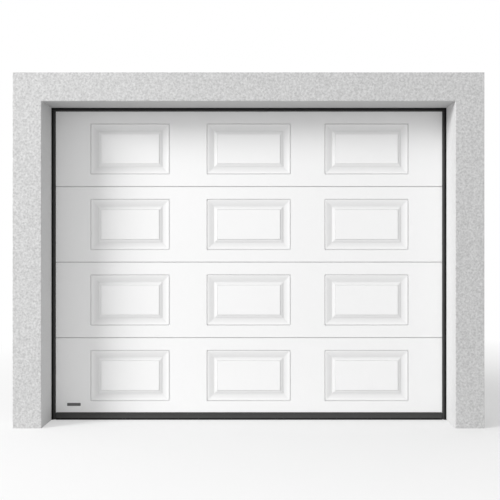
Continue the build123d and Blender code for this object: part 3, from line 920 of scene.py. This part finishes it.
y0, z0, _ = ROLLER_SPOTS[0]
tyres, stems = [make_tyre(y0, z0)], [make_stem(y0, z0)]
for y, z, seat in ROLLER_SPOTS[1:]:
    tyres.append(copy_of(tyres[0], (0, y - y0, z - z0)))
    stems.append(copy_of(stems[0], (0, y - y0, z - z0)))
tyres, stems = both(tyres), both(stems)
dress(join("roller_tyres", tyres), nylon, "roller_nylon", "rollers")
dress(join("roller_stems", stems), bright_steel, "bright_steel")

# %% [markdown]
# ## Cable pulleys
# A pulley at each corner turns the cable from the leaf's edge to the line above the track. It is a
# casting with a rounded groove, a thin web and a thick hub. It is turned as one closed ring, and its
# stud gets a nut.

# %% Pulleys
PULLEY_Y, PULLEY_Z, CABLE_R = 0.064, 2.045, 0.002
SHAFT_Y, SHAFT_Z, SHAFT_R, DRUM_R = 2.243, 2.03, 0.0127, 0.06
SHAFT = (0, SHAFT_Y, SHAFT_Z)
groove = [(0.006, 0.0472), (0.0052, 0.048), (0.0024, 0.0437), (0.001, 0.0428)]
web = [(-0.006, 0.0395), (-0.003, 0.038), (-0.003, 0.0165), (-0.006, 0.015), (-0.006, 0.0062)]
wheel = web[::-1] + [(-a, r) for a, r in groove] + [(a, r) for a, r in reversed(groove)]
wheel += [(-a, r) for a, r in web]
pulley = ring_of("pulley", wheel, (CABLE_X, PULLEY_Y, PULLEY_Z), 48)
dress(join("pulley_pair", both([pulley])), cast_alloy, "cast_aluminium", "cable_pulleys")
for side in (-1, 1):
    bolt(0, -side, (side * 1.2835, PULLEY_Y, PULLEY_Z), PULLEY_NUT)
    bolt(0, side, (side * 1.346, PULLEY_Y, PULLEY_Z), PULLEY_NUT)

# %% [markdown]
# ## Lifting cables
# A cable starts with a loop on the bottom bracket's pin, held by a pressed ferrule. It goes up, a
# quarter turn over the pulley, back along the track and round the drum. One round outline is carried
# all the way: straight runs are extruded and the bends are spun about the wheels. The turns on the
# drum come from a screw modifier.

# %% Cables
def coil(name, start, radius, wire, turns, pitch, steps, sides):
    """A wire wound round an axis along X at a radius, from start, with its ends closed."""
    clear()
    bpy.ops.mesh.primitive_circle_add(vertices=sides, radius=wire, location=(start, 0, radius),
                                      rotation=(math.radians(90), 0, 0))
    piece = open_piece(name)
    enter("OBJECT")
    piece.location = (0, 0, 0)
    screw = piece.modifiers.new("wind", "SCREW")
    screw.axis, screw.angle, screw.screw_offset = "X", math.radians(360 * turns), pitch * abs(turns)
    screw.steps = screw.render_steps = int(steps * abs(turns))
    bpy.ops.object.modifier_apply(modifier="wind")
    enter("EDIT")
    weld()
    bpy.ops.mesh.select_non_manifold(extend=False)
    bpy.ops.mesh.edge_face_add()
    return close_piece(50)


def make_cable():
    pin_z = ROLLER_SPOTS[0][1]
    foot = pin_z + 0.022
    clear()
    bpy.ops.mesh.primitive_circle_add(vertices=12, radius=CABLE_R, location=(CABLE_X, CABLE_Y, foot))
    open_piece("cable")
    extrude((0, 0, PULLEY_Z - foot))
    bpy.ops.mesh.spin(steps=14, angle=math.radians(-90), axis=(1, 0, 0),
                      center=(CABLE_X, PULLEY_Y, PULLEY_Z))
    extrude((0, SHAFT_Y - PULLEY_Y, 0))
    cap_ends(2, foot)
    cap_ends(1, SHAFT_Y)
    rope = close_piece(50)
    turns = shift(coil("turns", CABLE_X, DRUM_R, CABLE_R, -2.6, -0.005, 36, 12), SHAFT)
    clear()
    bpy.ops.mesh.primitive_torus_add(major_radius=0.0066, minor_radius=0.0018, major_segments=28,
                                     minor_segments=10, rotation=(math.radians(90), 0, 0),
                                     location=(CABLE_X, CABLE_Y + 0.001 - 0.0026 / 3, pin_z))
    open_piece("loop")
    loop = close_piece(60)
    clamp = [(0.0065, 0.003), (0.0075, 0.004), (0.0205, 0.004), (0.022, 0.0024)]
    ferrule = turned("ferrule", clamp, (CABLE_X, CABLE_Y, pin_z), 2, 16)
    return join("cable", [rope, turns, ferrule, loop])


dress(join("cable_pair", both([make_cable()])), cable_steel, "cable_steel", "lift_cables")

# %% [markdown]
# ## Cable drums
# A drum is cast with a high flange on the side of the doorway, a barrel with grooves for the cable
# and a hub that is clamped on the shaft by two set screws. The ring is turned with one groove per
# turn of cable, and six ribs between hub and rim are plates turned about the shaft.

# %% Drums
def spokes(count, x0, x1, inner, outer, width):
    """Ribs between two radii round the shaft."""
    made = []
    for i in range(count):
        cut_plate("rib", (x0, -width / 2, inner), (x1, width / 2, outer))
        enter("EDIT")
        take_all()
        bpy.ops.transform.rotate(value=math.tau * i / count, orient_axis="X", center_override=(0, 0, 0))
        enter("OBJECT")
        made.append(bpy.context.object)
    return made


def make_drum():
    x0, x1, rim, crest, bore = 1.253, 1.3, 0.065, 0.058, SHAFT_R + 0.0003
    ring = [(x0 + 0.001, 0.048), (x0, 0.049), (x0, rim - 0.0015), (x0 + 0.0015, rim),
            (x0 + 0.0055, rim), (x0 + 0.007, rim - 0.0015), (x0 + 0.008, crest)]
    for i in range(7):
        a = x0 + 0.009 + i * 0.005
        ring += [(a, crest), (a + 0.0013, crest - 0.0016), (a + 0.0027, crest - 0.0016),
                 (a + 0.004, crest)]
    ring += [(x1 - 0.001, crest), (x1, crest - 0.001), (x1, 0.05), (x1 - 0.02, 0.048)]
    hub = [(x0 + 0.0004, bore), (x0 + 0.0004, 0.0225), (x0 + 0.002, 0.024), (x1 - 0.002, 0.024),
           (x1 - 0.0004, 0.0225), (x1 - 0.0004, bore)]
    web = [(x0 + 0.02, 0.0235), (x0 + 0.02, 0.0485), (x0 + 0.023, 0.0485), (x0 + 0.023, 0.0235)]
    pieces = [ring_of("barrel", ring, sides=56), ring_of("hub", hub), ring_of("web", web)]
    pieces += spokes(6, x0 + 0.003, x1 - 0.003, 0.0232, 0.0484, 0.003)
    return shift(join("drum", pieces), SHAFT)


dress(join("drum_pair", both([make_drum()])), cast_alloy, "cast_aluminium", "cable_drums")

# %% [markdown]
# ## Torsion springs and cones
# Each spring is a closed coil of black oiled wire, 54 mm across the middle of the wire. The cones at
# its ends are castings that the coil is screwed on to: a fluted skirt in the coil, a neck and, on the
# winding one, holes for the bars. The coil is wound as one wire; the cones are turned, with ribs
# about the shaft.

# %% Springs and cones
SPRING_IN, SPRING_OUT, CONE = 0.0405, 0.5205, 0.034
WIRE, COIL_R, COILS = 0.003, 0.0269, 76
pitch = (SPRING_OUT - SPRING_IN - 2 * WIRE) / COILS
spring = shift(coil("spring", SPRING_IN + WIRE, COIL_R, WIRE, COILS, pitch, 26, 8), SHAFT)
dress(join("spring_pair", both([spring])), spring_black, "spring_steel", "torsion_springs")


def make_cone(face, way, winding):
    bore = SHAFT_R + 0.0003
    ring = [(-CONE, bore), (-CONE, 0.018), (-CONE + 0.0015, 0.0195), (-0.015, 0.0195), (-0.012, 0.0215),
            (-0.008, 0.029), (-0.0065, 0.0298), (-0.0012, 0.0298), (0, 0.0285), (0, 0.0232)]
    for i in range(4):
        a = 0.0015 + i * 0.0063
        ring += [(a, 0.0226), (a + 0.0025, 0.0236), (a + 0.004, 0.0226)]
    ring += [(0.03, 0.019), (0.03, bore)]
    cone = ring_of("cone", [(face + way * a, r) for a, r in ring])
    a, b = sorted((face - way * (CONE - 0.002), face - way * 0.0085))
    pieces = [cone] + spokes(4 if winding else 2, a, b, 0.019, 0.024 if winding else 0.0225, 0.011)
    return shift(join("cone", pieces), SHAFT)


cones = both([make_cone(SPRING_IN, 1, False), make_cone(SPRING_OUT, -1, True)])
dress(join("cone_set", cones), cast_alloy, "cast_aluminium", "spring_cones")
for side in (-1, 1):
    for up in (-1, 1):
        bolt(2, up, (side * (SPRING_OUT + CONE * 0.62), SHAFT_Y, SHAFT_Z + up * 0.0238), 0.0048)
        bolt(2, up, (side * 1.2965, SHAFT_Y, SHAFT_Z + up * 0.0238), SET_SCREW)

# %% [markdown]
# ## Shaft, bearings and centre bracket
# The shaft is a steel tube. At each end plate it runs in a bearing: a pressed flange on the plate, a
# dark shield and the race round the tube. The centre bracket is a plate with a rounded collar and a
# foot that is bolted to the cross rail.

# %% Shaft and bearings
SHAFT_END, PLATE_IN, PLATE_OUT = 1.364, 1.343, 1.346
tube = [(-SHAFT_END + 0.0006, SHAFT_R - 0.0026), (-SHAFT_END, SHAFT_R - 0.002),
        (-SHAFT_END, SHAFT_R - 0.0006), (-SHAFT_END + 0.0006, SHAFT_R)]
shaft = ring_of("shaft_tube", mirrored(tube), SHAFT)
dress(shaft, bright_steel, "bright_steel", "torsion_shaft")

flange = [(0, 0.0225), (0, 0.031), (0.0012, 0.031), (0.0018, 0.03), (0.0045, 0.0245), (0.0055, 0.024),
          (0.0055, 0.0225)]
race = [(0, SHAFT_R + 0.0002), (0, 0.0165), (0.0066, 0.0165), (0.007, 0.016),
        (0.007, SHAFT_R + 0.0002)]
shield = [(0, 0.0163), (0, 0.0227), (0.0044, 0.0227), (0.0044, 0.0163)]
races, shields = [], []
for face, way in ((PLATE_IN, -1), (PLATE_OUT, 1)):
    for made, rings in ((races, flange), (races, race), (shields, shield)):
        made.append(ring_of("bearing_ring", [(face + way * a, r) for a, r in rings], SHAFT))
dress(join("bearing_races", both(races)), bright_steel, "bright_steel")
dress(join("bearing_shields", both(shields)), nylon, "roller_nylon")

RAIL_Y, RAIL_LOW, RAIL_HIGH, COLLAR = 2.32, 1.99, 2.07, 0.026
outline = arc((SHAFT_Y, SHAFT_Z), COLLAR, 75, 285, 26)
outline += [(2.262, 2.000), (RAIL_Y - 0.003, RAIL_LOW + 0.004), (RAIL_Y - 0.003, RAIL_HIGH - 0.004),
            (2.262, 2.06)]
arm = rolled("arm", outline, -0.003, 0.003)
collar = ring_of("collar", mirrored([(-0.0063, 0.0132), (-0.0063, 0.0225), (-0.0055, 0.0235)]), SHAFT)
foot = cut_plate("foot", (-0.034, RAIL_Y - 0.003, RAIL_LOW + 0.002), (0.034, RAIL_Y, RAIL_HIGH - 0.002),
                 0.0008, 2)
dress(join("middle_bracket", [arm, collar, foot]), galvanised, "galvanised_steel",
      "shaft_centre_bracket")
for dx in (-0.022, 0.022):
    for z in (RAIL_LOW + 0.017, RAIL_HIGH - 0.017):
        bolt(1, -1, (dx, RAIL_Y - 0.003, z), HANGER_BOLT)

# %% [markdown]
# ## Bolts of the frame and tracks
# Nuts sit outside the tracks where the flag brackets, hangers and end plates are held; screws hold
# the angles and the head frame to the wall and the caps to the sections. They lie in even rows, as in
# a drilled pattern.

# %% Rows of fasteners
FRAME_BACK, ANGLE_OUT = -0.035, 1.345
HANGER_Y, HANGER_X, HANGER_TOP = (0.953, 2.043), 1.378, 2.247
ANGLE_X, CAP_X, BEARING_R = 1.29, 1.2735 - 0.008, 0.0275
for side in (-1, 1):
    for z in (0.16, 0.68, 1.2, 1.68):
        bolt(1, 1, (side * ANGLE_X, FRAME_BACK, z), FRAME_BOLT)
        bolt(0, side, (side * ANGLE_OUT, ROLLER_Y, z + 0.06), FRAME_BOLT)
    for y, z in ((-0.01, 1.85), (-0.01, 2.06), (0.36, RAIL_Z), (0.4, RAIL_Z), (0.1, 1.86),
                 (0.2, 2.02)):
        bolt(0, side, (side * PLATE_OUT, y, z), FRAME_BOLT)
    for y in HANGER_Y:
        for dz in (-0.014, 0.014):
            bolt(0, side, (side * PLATE_OUT, y + 0.017, RAIL_Z + dz), HANGER_BOLT)
        bolt(2, -1, (side * HANGER_X, y + 0.035, HANGER_TOP), 0.007)
    for y, z in ((2.122, RAIL_Z), (2.155, RAIL_Z), (2.3375, 2.012), (2.3375, 2.048)):
        bolt(0, side, (side * PLATE_OUT, y, z), FRAME_BOLT)
    for angle in (30, 150, 270):
        y = SHAFT_Y + BEARING_R * math.cos(math.radians(angle))
        z = SHAFT_Z + BEARING_R * math.sin(math.radians(angle))
        bolt(0, side, (side * (PLATE_OUT + 0.0012), y, z), SHEET_SCREW)
    for index in range(SECTION_COUNT):
        for step in (0.1, 0.24, 0.38):
            bolt(1, 1, (side * CAP_X, CAP_BACK, LEAF_BASE + index * SECTION_PITCH + step), SHEET_SCREW)
for x in (-1.1, -0.66, -0.22, 0.22, 0.66, 1.1):
    bolt(1, 1, (x, FRAME_BACK, 2.045), FRAME_BOLT)

fasteners = join("fasteners", bolts)
take(*patterns.values())
bpy.ops.object.delete()
dress(fasteners, zinc_bolt, "bright_steel")

# %% [markdown]
# ## Finishes on the solids
# The wall, tracks, brackets, angles and rails keep their plain solid, because sheet and stone are
# plain. Each solid takes the finish of its own material slot.

# %% Solids that keep their form
SLOT_FINISH = dict(galvanised_steel=galvanised, bright_steel=bright_steel, cast_aluminium=cast_alloy,
                   spring_steel=spring_black, roller_nylon=nylon, cable_steel=cable_steel,
                   black_rubber=rubber, dark_profile=dark_profile, leaf_skin=leaf_paint, stucco=stucco)
for part in frame["record"]["subparts"]:
    solid = frame["nodes"][part["node"]]
    solid.data.materials.clear()
    solid.data.materials.append(SLOT_FINISH[part["material_slot"]])

# %% [markdown]
# ## Floor, background and light
# The door stands on a plain pale floor in front of white. The floor keeps the soft shadow of the wall
# and fades into the white behind, through a mix that only camera, mirror and glass rays see. Light
# that falls on the floor comes back up to the door: the strip along the doorstep sends back more of
# it, since that stretch lifts the leaf's foot without paling its top. One broad lamp at the upper
# left in front gives the dark left reveal and the bright right one, and the world fills the rest. The
# wall's left end, lit straight by the lamp, is near white when seen from that side.

# %% Floor
FLOOR_SIZE, FLOOR_Y = 40, 8
FLOOR_LEVEL, DOORSTEP_LEVEL, FLOOR_SEEN, NEAR_WHITE = 203, 224, 231, 0.22
DOORSTEP_FRONT, DOORSTEP_BACK, DOORSTEP_FADE = -0.9, 0.0, 1.6
NEAR_MIDDLE, NEAR_REACH, FAR_REACH = (0.5, 0.8, 0), 1.3, 4.2


def white_for_sight(f):
    """1 for the rays that see the background directly, in a mirror or through glass."""
    rays = f.tree.nodes.new("ShaderNodeLightPath")
    names = ("Is Camera Ray", "Is Glossy Ray", "Is Transmission Ray")
    seen = [Value(f, rays.outputs[name]) for name in names]
    return seen[0].maths("MAXIMUM", seen[1].maths("MAXIMUM", seen[2]))


clear()
bpy.ops.mesh.primitive_plane_add(size=FLOOR_SIZE, location=(0, FLOOR_Y, 0))
floor = bpy.context.object
floor.name = "studio_floor"
floor_finish = Finish("studio_floor", roughness=0.9, specular=0.0)
sight = white_for_sight(floor_finish)
y = floor_finish.axes()[1]
doorstep = (y - (DOORSTEP_FRONT - FLOOR_Y)) * DOORSTEP_FADE * (y < DOORSTEP_BACK - FLOOR_Y)
bounce = floor_finish.blend(doorstep, grey(FLOOR_LEVEL), grey(DOORSTEP_LEVEL))
floor_finish.set("Base Color", floor_finish.blend(sight, bounce, grey(FLOOR_SEEN)))
way = (-NEAR_MIDDLE[0], FLOOR_Y - NEAR_MIDDLE[1], 0)
spot = floor_finish.node("ShaderNodeMapping", inputs={"Vector": floor_finish.place, "Location": way})
length = floor_finish.node("ShaderNodeVectorMath", {"operation": "LENGTH"}, {0: spot}, "Value")
far = floor_finish.node("ShaderNodeMapRange", inputs={
    0: length, 1: NEAR_REACH, 2: FAR_REACH, 3: NEAR_WHITE, 4: 1.0})
glow = floor_finish.node("ShaderNodeEmission", inputs={"Color": (1, 1, 1, 1), "Strength": 1.0})
mixed = floor_finish.node("ShaderNodeMixShader", inputs={
    0: sight * far, 1: Value(floor_finish, floor_finish.shader.outputs[0]), 2: glow})
floor_finish.feed(floor_finish.tree.nodes["Material Output"].inputs["Surface"], mixed)
floor.data.materials.append(floor_finish.material)

# %% World and key lamp
FILL_LEVEL = 0.73
KEY_PLACE, KEY_TARGET, KEY_SIZE, KEY_POWER = (-11.4, -6.3, 6.6), (-0.6, 0, 1.1), 5.2, 1560
world = bpy.data.worlds.new("studio")
world.use_nodes = True
bpy.context.scene.world = world


class Sky(Finish):
    """The world's nodes, written the same way as a finish."""

    def __init__(self, tree):
        self.tree = tree


sky = Sky(world.node_tree)
fill = sky.tree.nodes["Background"]
fill.inputs["Color"].default_value = (1, 1, 1, 1)
fill.inputs["Strength"].default_value = FILL_LEVEL
seen_white = sky.node("ShaderNodeBackground", inputs={"Color": (1, 1, 1, 1), "Strength": 1.0})
either = sky.node("ShaderNodeMixShader", inputs={
    0: white_for_sight(sky), 1: Value(sky, fill.outputs[0]), 2: seen_white})
sky.feed(sky.tree.nodes["World Output"].inputs["Surface"], either)

bpy.ops.object.light_add(type="AREA", location=KEY_PLACE)
key = bpy.context.object
key.name = "key_lamp"
key.data.shape, key.data.size, key.data.energy = "DISK", KEY_SIZE, KEY_POWER
key.rotation_euler = (Vector(KEY_TARGET) - Vector(KEY_PLACE)).to_track_quat("-Z", "Y").to_euler()
print("key lamp:", KEY_POWER, "W, fill:", FILL_LEVEL)
